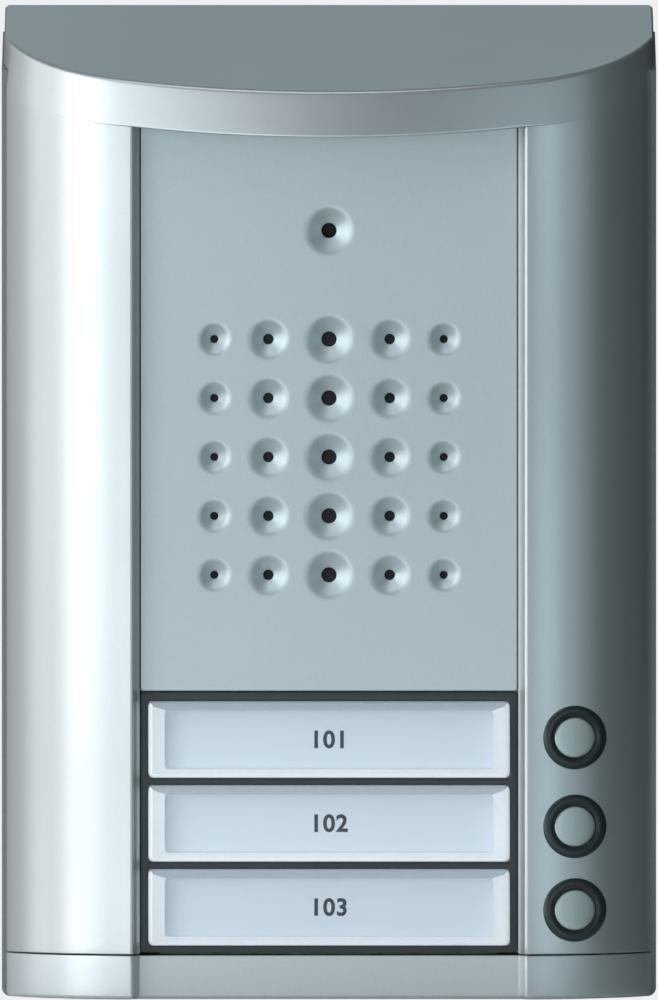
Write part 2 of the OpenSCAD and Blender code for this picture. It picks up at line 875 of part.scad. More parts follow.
switch_plunger(1);  // switch_plunger_1
switch_plunger(2);  // switch_plunger_2
switch_plunger(3);  // switch_plunger_3
key_switches();
button_guide();
main_board();
board_screws();
circuit_chips();
capacitors();
relay();
trimmer_bodies();
trimmer_rotor(1);  // trimmer_rotor_1
trimmer_rotor(2);  // trimmer_rotor_2
terminal_block();
terminal_screws();
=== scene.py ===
"""Door intercom panel: the looks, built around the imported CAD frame.

X runs to the right, -Y is the front and +Z is up. Shapes are worked out in millimetres and scaled
once, when a mesh is made.
"""

import json
import math

import bmesh
import bpy
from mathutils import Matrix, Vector
from mathutils.geometry import delaunay_2d_cdt


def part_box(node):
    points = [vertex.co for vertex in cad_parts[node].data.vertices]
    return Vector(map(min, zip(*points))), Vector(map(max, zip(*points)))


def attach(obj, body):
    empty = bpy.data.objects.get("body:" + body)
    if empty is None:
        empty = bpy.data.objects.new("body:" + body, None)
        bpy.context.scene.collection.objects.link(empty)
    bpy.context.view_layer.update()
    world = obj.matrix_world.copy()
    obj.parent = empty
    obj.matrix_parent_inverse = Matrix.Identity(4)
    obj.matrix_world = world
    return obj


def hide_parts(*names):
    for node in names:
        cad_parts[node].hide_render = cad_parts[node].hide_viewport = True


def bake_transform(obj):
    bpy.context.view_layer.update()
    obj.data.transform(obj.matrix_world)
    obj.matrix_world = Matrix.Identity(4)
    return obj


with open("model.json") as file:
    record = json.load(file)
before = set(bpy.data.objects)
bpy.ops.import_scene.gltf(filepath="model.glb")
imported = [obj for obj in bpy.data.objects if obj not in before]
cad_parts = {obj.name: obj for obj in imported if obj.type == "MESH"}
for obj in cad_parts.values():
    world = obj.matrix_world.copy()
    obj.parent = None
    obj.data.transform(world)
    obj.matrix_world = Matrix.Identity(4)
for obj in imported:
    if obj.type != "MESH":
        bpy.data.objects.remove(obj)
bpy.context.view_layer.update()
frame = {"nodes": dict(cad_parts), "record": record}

MM = 0.001
SMOOTH_ANGLE = math.radians(32)


def box_mm(node):
    """Lowest and highest corner of a CAD node, in millimetres."""
    lo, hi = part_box(node)
    return [c / MM for c in lo], [c / MM for c in hi]


# ---------------------------------------------------------------- sizes, in millimetres
COVER_LO, COVER_HI = box_mm("front_cover")
CAP_LO, _ = box_mm("bottom_cap")
PANEL_LO, PANEL_HI = box_mm("speaker_panel")
FRAME_LO, FRAME_HI = box_mm("nameplate_frame")
FRONT_Y = COVER_LO[1] + 0.06  # front of the hood, just inside the CAD
ROOF_HALF = COVER_HI[0]
ROOF_TOP = COVER_HI[2]  # back edge of the roof
COVER_BOTTOM = COVER_LO[2]
CAP_BOTTOM = CAP_LO[2]
CAP_TOP = COVER_BOTTOM - 0.2
JOINT_Y = -17.6  # where the cover meets the rear housing
BACK_Y = -0.05  # just clear of the wall
BAND_LEAN = 0.7  # how far the hood's band leans back from its lip to the roof's edge
ROOF_SLOPE = 15.2 / (-FRONT_Y - BAND_LEAN)
BAND = 7.72  # height of the roof's plane over the underside's plane
ROOF_LIP = 4.6  # height of the roof's lip over the rear housing
PANEL_Y = PANEL_LO[1]
PANEL_THICK = 2.0
SEAT_Y = -28.0  # face of the flange behind the speaker panel
WALL = 1.9  # how far the edges that show turn inward

# Plan of the hood: a wide arc, then a side arc tangent to it. A wing leaves the side arc later.
WIDE_R = 125.0
WIDE_END = 37.0
SIDE_R = 30.0
WING_R = 26.0
WING_END = 47.5
WIDE_C = FRONT_Y + WIDE_R
JOIN = math.asin(WIDE_END / WIDE_R)
SIDE_C = (
    WIDE_END - SIDE_R * math.sin(JOIN),
    WIDE_C - (WIDE_R - SIDE_R) * math.cos(JOIN),
)
LEAVE = math.asin((WING_END - SIDE_C[0]) / SIDE_R)
WING_C = (
    SIDE_C[0] + (SIDE_R - WING_R) * math.sin(LEAVE),
    SIDE_C[1] - (SIDE_R - WING_R) * math.cos(LEAVE),
)
SIDE_END = math.acos((SIDE_C[1] - JOINT_Y) / SIDE_R)

# Recess between the wings
FOOT_X = 32.6
LEAN = 0.48
TIP_ROUND = 0.45
HOLLOW = (0.62, 0.2)  # where the wall's curve is pulled to, as shares of the way from foot to tip
FLANGE_X = 29.0
FLANGE_Z = (-76.3, 60.0)

# Edges
LIP_WALL = 1.2
LIP_DEPTHS = (-14.6, -10, -5, -1)
LIP_ROUND = 0.55
EDGE_ROUND = 0.6
RIM_ROUND = 0.22
RIM_MID = RIM_ROUND * 0.3  # the point part-way round it
LIP_SHARE = 0.8  # how much of the gap to the wing the lip's round may take
BACK_CORNER = 0.6  # how far the roof's back points stay from its corners

# Buttons
BUTTONS = {
    i: [(a + b) / 2 / MM for a, b in zip(*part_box(f"button_cap_{i}"))] for i in (1, 2, 3)
}
BUTTON_X = BUTTONS[1][0]
BUTTON_Z = {i: at[2] for i, at in BUTTONS.items()}
CAP_R = 3.55
RING_IN, RING_OUT = 3.63, 5.5
SLEEVE_R = 4.7
SLEEVE_GAP = 0.05
PATCH = 6  # half-size of the square of wing around a button

# Speech grille
COLUMNS = ((0.0, 4.3, 1.3), (10.45, 3.6, 0.9), (19.75, 2.9, 0.7))  # side offset, dimple, hole
ROW_PITCH = 10.15
ROWS = 5
GRILLE_Z = 7.65
MIC_Z = 46.65
DIMPLE_SEGMENTS = 40


# ---------------------------------------------------------------- mesh helpers
class Builder:
    """Collects faces by their corners, in millimetres, and welds corners that coincide."""

    def __init__(self):
        self.points, self.index, self.faces, self.material = [], {}, [], 0

    def point(self, p):
        key = tuple(round(c, 4) for c in p)
        if key not in self.index:
            self.index[key] = len(self.points)
            self.points.append(tuple(p))
        return self.index[key]

    def face(self, *corners, hard=False):
        """A face; a hard one is not shaded smoothly into its neighbours."""
        ids = []
        for p in corners:
            i = self.point(p)
            if i not in ids:
                ids.append(i)
        if len(ids) > 2:
            self.faces.append((ids, self.material, hard))

    def grid(self, rows, closed=False, skip=None):
        """Quads between rows of points; closed joins the last column to the first."""
        for j, (a, b) in enumerate(zip(rows, rows[1:])):
            n = len(a)
            for i in range(n if closed else n - 1):
                k = (i + 1) % n
                if skip and skip(i, j):
                    continue
                self.face(a[i], a[k], b[k], b[i])

    def to_object(self, name, materials, outward=True):
        """A mesh object in metres with smooth faces, hard edges kept hard, and even shading."""
        mesh = bpy.data.meshes.new(name)
        bm = bmesh.new()
        verts = [bm.verts.new(Vector(p) * MM) for p in self.points]
        for ids, material, hard in self.faces:
            face = bm.faces.new([verts[i] for i in ids])
            face.material_index = material
            face.smooth = True
            if hard:
                for edge in face.edges:
                    edge.smooth = False
        loose = [v for v in bm.verts if not v.link_faces]
        bmesh.ops.delete(bm, geom=loose, context="VERTS")
        if outward:
            bmesh.ops.recalc_face_normals(bm, faces=bm.faces)
        for edge in bm.edges:
            if len(edge.link_faces) == 2 and edge.calc_face_angle() > SMOOTH_ANGLE:
                edge.smooth = False
        bm.to_mesh(mesh)
        bm.free()
        obj = bpy.data.objects.new(name, mesh)
        bpy.context.scene.collection.objects.link(obj)
        for material in materials:
            mesh.materials.append(material)
        shade = obj.modifiers.new("Shading", "WEIGHTED_NORMAL")
        shade.keep_sharp = True
        return obj


def place(obj, body, slot, *nodes):
    """Rides obj on a body, for the CAD nodes that it stands for."""
    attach(obj, body)
    if nodes:
        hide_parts(*nodes)
    return obj


def steps(a, b, n):
    return [a + (b - a) * k / n for k in range(n + 1)]


def bend(p0, corner, p1, n=5):
    """A rounded corner: points on a quadratic curve from p0 to p1, along the corner's sides at both ends."""
    out = []
    for t in steps(0, 1, n):
        u = 1 - t
        out.append(tuple(u**2 * a + 2 * t * u * c + t * t * b for a, c, b in zip(p0, corner, p1)))
    return out


def fill(builder, y, outer, holes, inside):
    """A flat face at depth y between an outer loop and holes, all given as (x, z) points."""
    points, edges = [], []
    for loop in [outer] + holes:
        base, n = len(points), len(loop)
        points += [Vector(p) for p in loop]
        edges += [(base + k, base + (k + 1) % n) for k in range(n)]
    made, _, faces, *_ = delaunay_2d_cdt(points, edges, [], 0, 1e-6)
    for ids in faces:
        middle = sum((made[i] for i in ids), Vector((0, 0))) / len(ids)
        if not inside(middle):
            builder.face(*[(made[i].x, y, made[i].y) for i in ids])


def rounded_rectangle(cx, cz, half_w, half_h, corner, n=5):
    """Loop of (x, z) points, counter-clockwise as seen from the front."""
    loop = []
    for quarter, (sx, sz) in enumerate(((1, 1), (-1, 1), (-1, -1), (1, -1))):
        for a in steps(0, math.pi / 2, n):
            angle = quarter * math.pi / 2 + a
            loop.append(
                (
                    cx + sx * (half_w - corner) + corner * math.cos(angle),
                    cz + sz * (half_h - corner) + corner * math.sin(angle),
                )
            )
    return loop


def loops_to_rows(loops):
    """Rows of 3-D points from (loop, depth) pairs."""
    return [[(x, y, z) for x, z in loop] for loop, y in loops]


# ---------------------------------------------------------------- materials
def node_material(name):
    mat = bpy.data.materials.new(name)
    mat.use_nodes = True
    nodes, links = mat.node_tree.nodes, mat.node_tree.links
    return mat, nodes, links, nodes["Principled BSDF"]


def noise(nodes, links, coords, scale, detail=3.0, roughness=0.55):
    tex = nodes.new("ShaderNodeTexNoise")
    tex.inputs["Scale"].default_value = scale
    tex.inputs["Detail"].default_value = detail
    tex.inputs["Roughness"].default_value = roughness
    links.new(coords, tex.inputs["Vector"])
    return tex.outputs["Fac"]


def remap(nodes, links, value, low, high, start=0.3, end=0.7):
    node = nodes.new("ShaderNodeMapRange")
    node.inputs["From Min"].default_value = start
    node.inputs["From Max"].default_value = end
    node.inputs["To Min"].default_value = low
    node.inputs["To Max"].default_value = high
    links.new(value, node.inputs["Value"])
    return node.outputs["Result"]


def blend(nodes, links, factor, a, b, mode="MIX"):
    """Mix of two colours, each a tuple or an output socket."""
    node = nodes.new("ShaderNodeMix")
    node.data_type = "RGBA"
    node.blend_type = mode
    if isinstance(factor, float):
        node.inputs[0].default_value = factor
    else:
        links.new(factor, node.inputs[0])
    for socket, value in ((node.inputs[6], a), (node.inputs[7], b)):
        if isinstance(value, tuple):
            socket.default_value = (*value, 1)
        else:
            links.new(value, socket)
    return node.outputs[2]


def surface(
    name, colour, tone=0.06, grain=1500, clouds=35, metallic=0.0, roughness=0.5, spread=0.05,
    bump=0.1, depth=0.00002, **sockets
):
    """A moulded or painted surface: fine grain and broad clouds in colour, gloss and relief."""
    mat, nodes, links, shader = node_material(name)
    coords = nodes.new("ShaderNodeTexCoord").outputs["Object"]
    fine = noise(nodes, links, coords, grain)
    broad = noise(nodes, links, coords, clouds, detail=2.0)
    dark = tuple(c * (1 - tone) for c in colour)
    light = tuple(min(1, c * (1 + tone)) for c in colour)
    tint = blend(nodes, links, remap(nodes, links, fine, 0, 1), dark, light)
    shadow = tuple([1 - tone / 2] * 3)
    patches = remap(nodes, links, broad, 0, 1)
    clouded = blend(nodes, links, 1.0, tint, shadow, "MULTIPLY")
    tint = blend(nodes, links, patches, tint, clouded)
    links.new(tint, shader.inputs["Base Color"])
    gloss = remap(nodes, links, broad, roughness - spread, roughness + spread)
    links.new(gloss, shader.inputs["Roughness"])
    relief = nodes.new("ShaderNodeBump")
    relief.inputs["Strength"].default_value = bump
    relief.inputs["Distance"].default_value = depth
    links.new(fine, relief.inputs["Height"])
    links.new(relief.outputs["Normal"], shader.inputs["Normal"])
    shader.inputs["Metallic"].default_value = metallic
    for socket, value in sockets.items():
        shader.inputs[socket.replace("_", " ")].default_value = value
    return mat


PAINT = surface(
    "silver_paint", (0.50, 0.535, 0.55), tone=0.05, grain=5200, clouds=24, metallic=0.62,
    roughness=0.36, spread=0.02, bump=0.12, depth=0.00001,
)
PANEL_PAINT = surface(
    "panel_paint", (0.485, 0.565, 0.585), tone=0.05, grain=5200, clouds=24, metallic=0.45,
    roughness=0.46, spread=0.02, bump=0.12, depth=0.00001,
)
# The cover's paint, a little lighter, less metallic and rougher, for the bottom cap: the lighter tone is
# painted light, so the cap looks as bright as the wings above it.
CAP_PAINT_WITH_PAINTED_LIGHT = surface(
    "cap_paint_with_painted_light", (0.53, 0.575, 0.59), tone=0.05, grain=5200, clouds=24, metallic=0.55,
    roughness=0.4, spread=0.02, bump=0.12, depth=0.00001,
)
BUTTON_METAL = surface(
    "button_metal", (0.51, 0.55, 0.55), tone=0.05, grain=4200, clouds=60, metallic=0.7,
    roughness=0.36, spread=0.03, bump=0.12, depth=0.00001,
)
HOUSING = surface("housing_plastic", (0.15, 0.17, 0.18), tone=0.1, grain=2600, roughness=0.5, bump=0.35)
FRAME_PLASTIC = surface(
    "frame_plastic", (0.022, 0.032, 0.037), tone=0.12, grain=2600, roughness=0.5, bump=0.25
)
RING_PLASTIC = surface("ring_plastic", (0.022, 0.031, 0.034), tone=0.12, grain=2600, roughness=0.36, bump=0.2)
CARD = surface("card_paper", (0.74, 0.81, 0.88), tone=0.03, grain=3200, clouds=90, roughness=0.85, bump=0.25)
INK = surface("card_ink", (0.012, 0.02, 0.03), tone=0.2, grain=5200, roughness=0.75)
PAINTED_RIM_GLOW = (0.93, 0.97, 1.0, 1.0)  # painted glow: colour of the emission that brightens the windows' rims and borders, standing in for backlight
WINDOW = surface(
    "clear_window", (0.66, 0.74, 0.82), tone=0.02, grain=900, clouds=60, roughness=0.14,
    spread=0.03, bump=0.05, Alpha=0.08,
)
# Frosted rims of the windows: a painted glow from emission on top of their own pale colour.
WINDOW_RIM = surface(
    "window_rim", (0.93, 0.96, 0.98), tone=0.02, grain=900, clouds=60, roughness=0.2,
    spread=0.04, bump=0.05, Alpha=0.92, Emission_Color=PAINTED_RIM_GLOW, Emission_Strength=0.2,
)
# Borders of the windows: a faint painted glow from emission.
WINDOW_SIDE = surface(
    "window_side", (0.90, 0.94, 0.97), tone=0.02, grain=900, clouds=60, roughness=0.16,
    spread=0.03, bump=0.05, Alpha=0.75, Emission_Color=PAINTED_RIM_GLOW, Emission_Strength=0.02,
)
# Darker copy of the window's plastic: painted shade along each window's upper edge.
WINDOW_TOP_PAINTED_SHADE = surface(
    "window_top_painted_shade", (0.40, 0.47, 0.53), tone=0.03, grain=900, clouds=60, roughness=0.2,
    spread=0.03, bump=0.05, Alpha=0.75,
)

SLOT_MATERIALS = {
    "metallic_paint": PAINT,
    "housing_plastic": HOUSING,
    "button_metal": BUTTON_METAL,
    "ring_plastic": RING_PLASTIC,
    "frame_plastic": FRAME_PLASTIC,
    "clear_window": WINDOW,
    "card_paper": CARD,
    "diffuser_plastic": surface("diffuser_plastic", (0.82, 0.85, 0.88), tone=0.03, grain=1200, roughness=0.4),
    "rubber": surface("rubber", (0.025, 0.026, 0.028), tone=0.15, grain=1800, roughness=0.75, bump=0.4),
    "membrane": surface("membrane", (0.012, 0.013, 0.015), tone=0.3, grain=3600, roughness=0.9, bump=0.5),
    "screw_steel": surface(
        "screw_steel", (0.62, 0.63, 0.64), tone=0.08, grain=2400, metallic=1.0, roughness=0.3
    ),
    "basket_steel": surface(
        "basket_steel", (0.42, 0.43, 0.44), tone=0.08, grain=1500, metallic=1.0, roughness=0.42
    ),
    "magnet": surface("magnet", (0.08, 0.08, 0.085), tone=0.12, grain=900, metallic=0.6, roughness=0.55),
    "cone": surface("cone", (0.03, 0.03, 0.032), tone=0.3, grain=1100, roughness=0.85, bump=0.6),
    "capsule": surface("capsule", (0.016, 0.017, 0.018), tone=0.3, grain=3600, roughness=0.9, bump=0.5),
    "leads": surface("leads", (0.75, 0.62, 0.36), tone=0.08, grain=2400, metallic=1.0, roughness=0.3),
    "led": surface("led", (0.85, 0.82, 0.66), tone=0.04, grain=2400, roughness=0.25),
    "moulding": surface("moulding", (0.78, 0.77, 0.73), tone=0.05, grain=1500, roughness=0.45, bump=0.25),
    "switch_plastic": surface("switch_plastic", (0.07, 0.07, 0.075), tone=0.1, grain=1500, roughness=0.45),
    "board": surface("board", (0.03, 0.15, 0.08), tone=0.25, grain=420, clouds=160, roughness=0.35, bump=0.3),
    "component_blue": surface("component_blue", (0.05, 0.13, 0.34), tone=0.1, grain=1500, roughness=0.4),
    "terminal_plastic": surface("terminal_plastic", (0.07, 0.20, 0.11), tone=0.1, grain=1500, roughness=0.45),
}
SLOTS = {s["node"]: s["material_slot"] for s in frame["record"]["subparts"]}
FLOOR = surface("pale_floor", (0.80, 0.81, 0.82), tone=0.01, grain=60, clouds=2, roughness=0.7, bump=0.0)


# ---------------------------------------------------------------- plan of the hood and wings
def roof_z(y):
    return ROOF_TOP + ROOF_SLOPE * y


def hood_angle(x):
    """Direction that the hood faces at side offset x, from straight ahead."""
    if abs(x) <= WIDE_END:
        return math.asin(x / WIDE_R)
    return math.copysign(math.asin((abs(x) - SIDE_C[0]) / SIDE_R), x)


def hood_y(x):
    if abs(x) <= WIDE_END:
        return WIDE_C - WIDE_R * math.cos(hood_angle(x))
    return SIDE_C[1] - SIDE_R * math.cos(hood_angle(x))


def wing_y(x):
    """Depth of the wing at side offset x, beyond the recess."""
    if abs(x) > WING_END - 1:
        return hood_y(x)
    return WING_C[1] - math.sqrt(WING_R**2 - (abs(x) - WING_C[0]) ** 2)


def side_columns():
    """Side offsets where the wing has columns of points, from its inner edge to the rear housing."""
    patch = [BUTTON_X + k for k in range(-PATCH, PATCH + 1)]
    start = math.asin((patch[-1] - SIDE_C[0]) / SIDE_R)
    round_side = [SIDE_C[0] + SIDE_R * math.sin(a) for a in steps(start, SIDE_END, 12)[1:]]
    inner = steps(tip_x() + TIP_ROUND, patch[0], 3)[:-1]
    return inner + patch + round_side


def tip_x():
    """Side offset where the leaning recess wall would meet the wing's arc."""
    low, high = FOOT_X, WING_C[0] + WING_R / 2
    for _ in range(40):
        x = (low + high) / 2
        if PANEL_Y - (x - FOOT_X) / LEAN > wing_y(x):
            low = x
        else:
            high = x
    return low


def recess_wall(back):
    """Plan points from depth back along the right-hand recess wall to the wing's inner edge."""
    tip = (tip_x(), wing_y(tip_x()))
    length = math.hypot(LEAN, 1)
    before = (tip[0] - TIP_ROUND * LEAN / length, tip[1] + TIP_ROUND / length)
    after = (tip[0] + TIP_ROUND, wing_y(tip[0] + TIP_ROUND))
    foot = (FOOT_X, PANEL_Y)
    hollow = (FOOT_X + HOLLOW[0] * (tip[0] - FOOT_X), PANEL_Y + HOLLOW[1] * (tip[1] - PANEL_Y))
    start = [] if back is None else [(FOOT_X, back)]
    return start + bend(foot, hollow, before)[:-1] + bend(before, tip, after)


def wing_outline(back):
    """Plan points of the right-hand wing, from depth back in the recess to the rear housing."""
    arc = [(x, wing_y(x)) for x in side_columns()[1:]]
    return recess_wall(back) + arc


def inward(points, distance):
    """Plan points moved in by a distance, square to an outline that runs left to right."""
    moved = []
    for i, p in enumerate(points):
        a, b = points[max(i - 1, 0)], points[min(i + 1, len(points) - 1)]
        before = Vector((p[0] - a[0], p[1] - a[1]))
        after = Vector((b[0] - p[0], b[1] - p[1]))
        normals = [Vector((-d.y, d.x)).normalized() for d in (before, after) if d.length > 1e-6]
        middle = sum(normals, Vector((0, 0))).normalized()
        reach = distance / max(middle.dot(normals[0]), 0.5)
        moved.append((p[0] + middle.x * reach, p[1] + middle.y * reach))
    return moved


def mirrored(points):
    return [(-x, y) for x, y in reversed(points)]


# ---------------------------------------------------------------- front cover
def build_front_cover():
    made = Builder()
    add_hood(made)
    wing = [(FLANGE_X, SEAT_Y)] + wing_outline(SEAT_Y) + [(side_columns()[-1] - WALL, JOINT_Y)]
    add_wing(made, wing, True)
    add_wing(made, mirrored(wing), False)
    for low, high in ((COVER_BOTTOM, FLANGE_Z[0]), (FLANGE_Z[1], roof_z(SEAT_Y) - BAND)):
        corners = ((-FLANGE_X, low), (FLANGE_X, low), (FLANGE_X, high), (-FLANGE_X, high))
        made.face(*[(x, SEAT_Y, z) for x, z in corners])
    obj = made.to_object("front_cover_shell", [PAINT], outward=False)
    return place(obj, "housing", "metallic_paint", "front_cover")


def hood_columns():
    """Side offsets of the hood's columns of points, left to right."""
    side = side_columns()[1:]
    half = steps(0, tip_x(), 16)[1:] + side
    return [-x for x in reversed(half)] + [0.0] + half


def under_roof(x, y, back, inset, below):
    """The point that lies an inset behind (x, y), along back, and a distance below the roof's plane."""
    py = y + back[1] * inset
    return (x + back[0] * inset, py, roof_z(py) - below)


def hood_section(x):
    """Points up the hood at side offset x: underside, lip, band, upper edge, roof."""
    y, angle = hood_y(x), hood_angle(x)
    back = (-math.sin(angle), math.cos(angle))
    gap = wing_y(x) - y if abs(x) > tip_x() else LIP_ROUND / LIP_SHARE
    lip = min(LIP_ROUND, LIP_SHARE * gap)

    def at(inset, below):
        return under_roof(x, y, back, inset, below)

    def band(below):
        return at(BAND_LEAN * (1 - below / BAND), below)

    low = bend(at(lip, BAND), band(BAND), band(BAND - lip))
    high = bend(band(EDGE_ROUND), band(0), at(BAND_LEAN + EDGE_ROUND, 0))
    return low + [band(ROOF_LIP), band(ROOF_LIP / 2)] + high


def lip_section(x, y, back):
    """Points up the roof's lip over the rear housing, at the heights of the hood's upper points."""

    def at(inset, below):
        return under_roof(x, y, back, inset, below)

    high = bend(at(0, EDGE_ROUND), at(0, 0), at(EDGE_ROUND, 0))
    return [at(LIP_WALL, ROOF_LIP), at(0, ROOF_LIP), at(0, ROOF_LIP / 2)] + high


def add_hood(made):
    """Hood band, roof and underside, and the roof's lip round the rear housing."""
    xs = hood_columns()
    front = [hood_section(x) for x in xs]
    right = [lip_section(ROOF_HALF, y, (-1, 0)) for y in LIP_DEPTHS]
    across = steps(ROOF_HALF - BACK_CORNER, -ROOF_HALF + BACK_CORNER, 8)
    back = [lip_section(x, BACK_Y, (0, -1)) for x in across]
    left = [lip_section(-ROOF_HALF, y, (1, 0)) for y in reversed(LIP_DEPTHS)]
    shared = 1 - len(right[0])
    ends = []
    for section in (front[-1], front[0]):
        x, y, z = section[shared]
        ends.append([(x - math.copysign(LIP_WALL, x), y, z)] + section[shared:])
    lip = ends[:1] + right + back + left + ends[1:]
    hood_rows, lip_rows = list(zip(*front)), list(zip(*lip))
    made.grid(hood_rows)
    made.grid(lip_rows)
    made.face(*hood_rows[-1], *lip_rows[-1])
    tip = len([x for x in xs if x < -WING_END])
    lower = [column[0] for column in front[tip:-tip]]
    wall = [(x, y, roof_z(y) - BAND) for x, y in wing_outline(SEAT_Y) if x < WING_END]
    upper = wall[::-1] + [(-x, y, z) for x, y, z in wall]
    made.face(*reversed(lower + upper), hard=True)


WING_HEIGHTS = [-22, -8, 6, 20, 34, 48, 58]  # rows of points above the buttons
UNDER_BAND = 1.5  # a sloping row of points runs this far below the hood


def add_wing(made, outline, with_buttons):
    """Wall of one wing and its recess wall, from the rounded lower rim to the hood."""
    rim = COVER_BOTTOM
    rows = [[(x, y, rim) for x, y in inward(outline, WALL)]]
    rows.append([(x, y, rim) for x, y in inward(outline, RIM_ROUND)])
    rows.append([(x, y, rim + RIM_MID) for x, y in inward(outline, RIM_MID)])
    heights = [rim + RIM_ROUND]
    for i in (3, 2, 1):
        heights += [BUTTON_Z[i] + k for k in range(-PATCH, PATCH + 1)]
    heights += WING_HEIGHTS
    first_row = len(rows)
    rows += [[(x, y, z) for x, y in outline] for z in heights]
    rows += [[(x, y, roof_z(y) - below) for x, y in outline] for below in (BAND + UNDER_BAND, BAND)]

    def in_patch(column, row):
        if not with_buttons or not first_row <= row < first_row + len(heights) - 1:
            return False
        x = (outline[column][0] + outline[column + 1][0]) / 2
        z = (heights[row - first_row] + heights[row - first_row + 1]) / 2
        close = any(abs(z - BUTTON_Z[i]) < PATCH for i in BUTTON_Z)
        return abs(x - BUTTON_X) < PATCH and close and outline[column][1] < JOINT_Y

    made.grid(rows, skip=in_patch)
    if with_buttons:
        for i in BUTTON_Z:
            add_button_hole(made, BUTTON_Z[i])


def add_button_hole(made, z):
    """Square of wing around a button, with the round hole for the ring's sleeve."""
    edge = []
    for k in range(-PATCH, PATCH):
        edge.append((k, -PATCH))
    for k in range(-PATCH, PATCH):
        edge.append((PATCH, k))
    for k in range(PATCH, -PATCH, -1):
        edge.append((k, PATCH))
    for k in range(PATCH, -PATCH, -1):
        edge.append((-PATCH, k))
    rows = []
    for t in (0, 0.3, 0.6, 0.85, 1):
        row = []
        for dx, dz in edge:
            scale = (SLEEVE_R + SLEEVE_GAP) / math.hypot(dx, dz)
            mix = 1 - t + t * scale
            x = BUTTON_X + dx * mix
            row.append((x, wing_y(x), z + dz * mix))
        rows.append(row)
    made.grid(rows, closed=True)


# ---------------------------------------------------------------- bottom cap
LOCK_Y = -22.5
LOCK_RECESS_R = 3.7
LOCK_RECESS_DEPTH = 3.2
CAP_FOOT_ROUND = 0.7
CAP_FOOT = ((CAP_FOOT_ROUND, 0), (0.32, 0.09), (0.09, 0.32))  # inset and rise round the lower edge


def build_bottom_cap():
    right = wing_outline(None)
    outline = mirrored(right) + [(0.0, PANEL_Y)] + right
    made = Builder()
    rows = []
    for inset, rise in CAP_FOOT:
        rows.append([(x, y, CAP_BOTTOM + rise) for x, y in inward(outline, inset)])
    for z in steps(CAP_BOTTOM + CAP_FOOT_ROUND, CAP_TOP - RIM_ROUND, 3):
        rows.append([(x, y, z) for x, y in outline])
    rows.append([(x, y, CAP_TOP - RIM_MID) for x, y in inward(outline, RIM_MID)])
    rows.append([(x, y, CAP_TOP) for x, y in inward(outline, RIM_ROUND)])
    rows.append([(x, y, CAP_TOP) for x, y in inward(outline, WALL)])
    made.grid(rows)
    foot = [(x, y) for x, y, _ in rows[0]]
    circle = [
        (LOCK_RECESS_R * math.cos(a), LOCK_Y + LOCK_RECESS_R * math.sin(a))
        for a in steps(0, 2 * math.pi, 40)[:-1]
    ]
    points = [Vector(p) for p in foot + circle]
    n, m = len(foot), len(circle)
    edges = [(k, (k + 1) % n) for k in range(n)] + [(n + k, n + (k + 1) % m) for k in range(m)]
    flat, _, faces, *_ = delaunay_2d_cdt(points, edges, [list(range(n))], 1, 1e-6)
    for ids in faces:
        middle = sum((flat[i] for i in ids), Vector((0, 0))) / len(ids)
        if (middle - Vector((0, LOCK_Y))).length > LOCK_RECESS_R * 0.999:
            corners = [(flat[i].x, flat[i].y, CAP_BOTTOM) for i in ids]
            made.face(*reversed(corners))
    recess = [
        [(x, y, CAP_BOTTOM) for x, y in circle],
        [(x, y, CAP_BOTTOM + LOCK_RECESS_DEPTH) for x, y in circle],
        [(x * 0.6, LOCK_Y + (y - LOCK_Y) * 0.6, CAP_BOTTOM + LOCK_RECESS_DEPTH) for x, y in circle],
    ]
    made.grid(recess, closed=True)
    obj = made.to_object("bottom_cap_shell", [CAP_PAINT_WITH_PAINTED_LIGHT], outward=False)
    return place(obj, "housing", "metallic_paint", "bottom_cap")


# ---------------------------------------------------------------- speaker panel
PANEL_CORNER = 0.5
PANEL_EDGE = 0.35
PANEL_SHAPE = ((0, PANEL_THICK), (0, PANEL_EDGE), (0.04, 0.15), (0.14, 0.04), (PANEL_EDGE, 0))  # inset, depth
DIMPLE_DEPTH = 1.5
DIMPLE_BLEND = 1.5


def sound_holes():
    """Every dimple: side offset, height, dimple radius and hole radius."""
    spots = [(0.0, MIC_Z, COLUMNS[0][1], COLUMNS[0][2])]
    for offset, dimple, hole in COLUMNS:
        for x in sorted({-offset, offset}):
            for row in range(ROWS):
                z = GRILLE_Z + (row - (ROWS - 1) / 2) * ROW_PITCH
                spots.append((x, z, dimple, hole))
    return spots


def dimple_profile(dimple, hole):
    """Radius and depth from the dimple's soft rim down its cone to the hole."""
    outer = dimple + 0.35
    radii = steps(outer, hole + 0.12, 14)
    slopes = []
    for r in radii:
        t = min(max((outer - r) / DIMPLE_BLEND, 0), 1)
        slopes.append(t * t * (3 - 2 * t))
    depth, total = [0.0], 0.0
    for a, b, (r0, r1) in zip(slopes, slopes[1:], zip(radii, radii[1:])):
        total += (a + b) / 2 * (r0 - r1)
        depth.append(total)
    scale = (DIMPLE_DEPTH - 0.06) / total
    profile = [(r, d * scale) for r, d in zip(radii, depth)]
    return profile + [(hole + 0.04, DIMPLE_DEPTH - 0.01), (hole, DIMPLE_DEPTH + 0.08)]


def circle_loop(x, z, r, n=DIMPLE_SEGMENTS):
    return [(x + r * math.cos(a), z + r * math.sin(a)) for a in steps(0, 2 * math.pi, n)[:-1]]


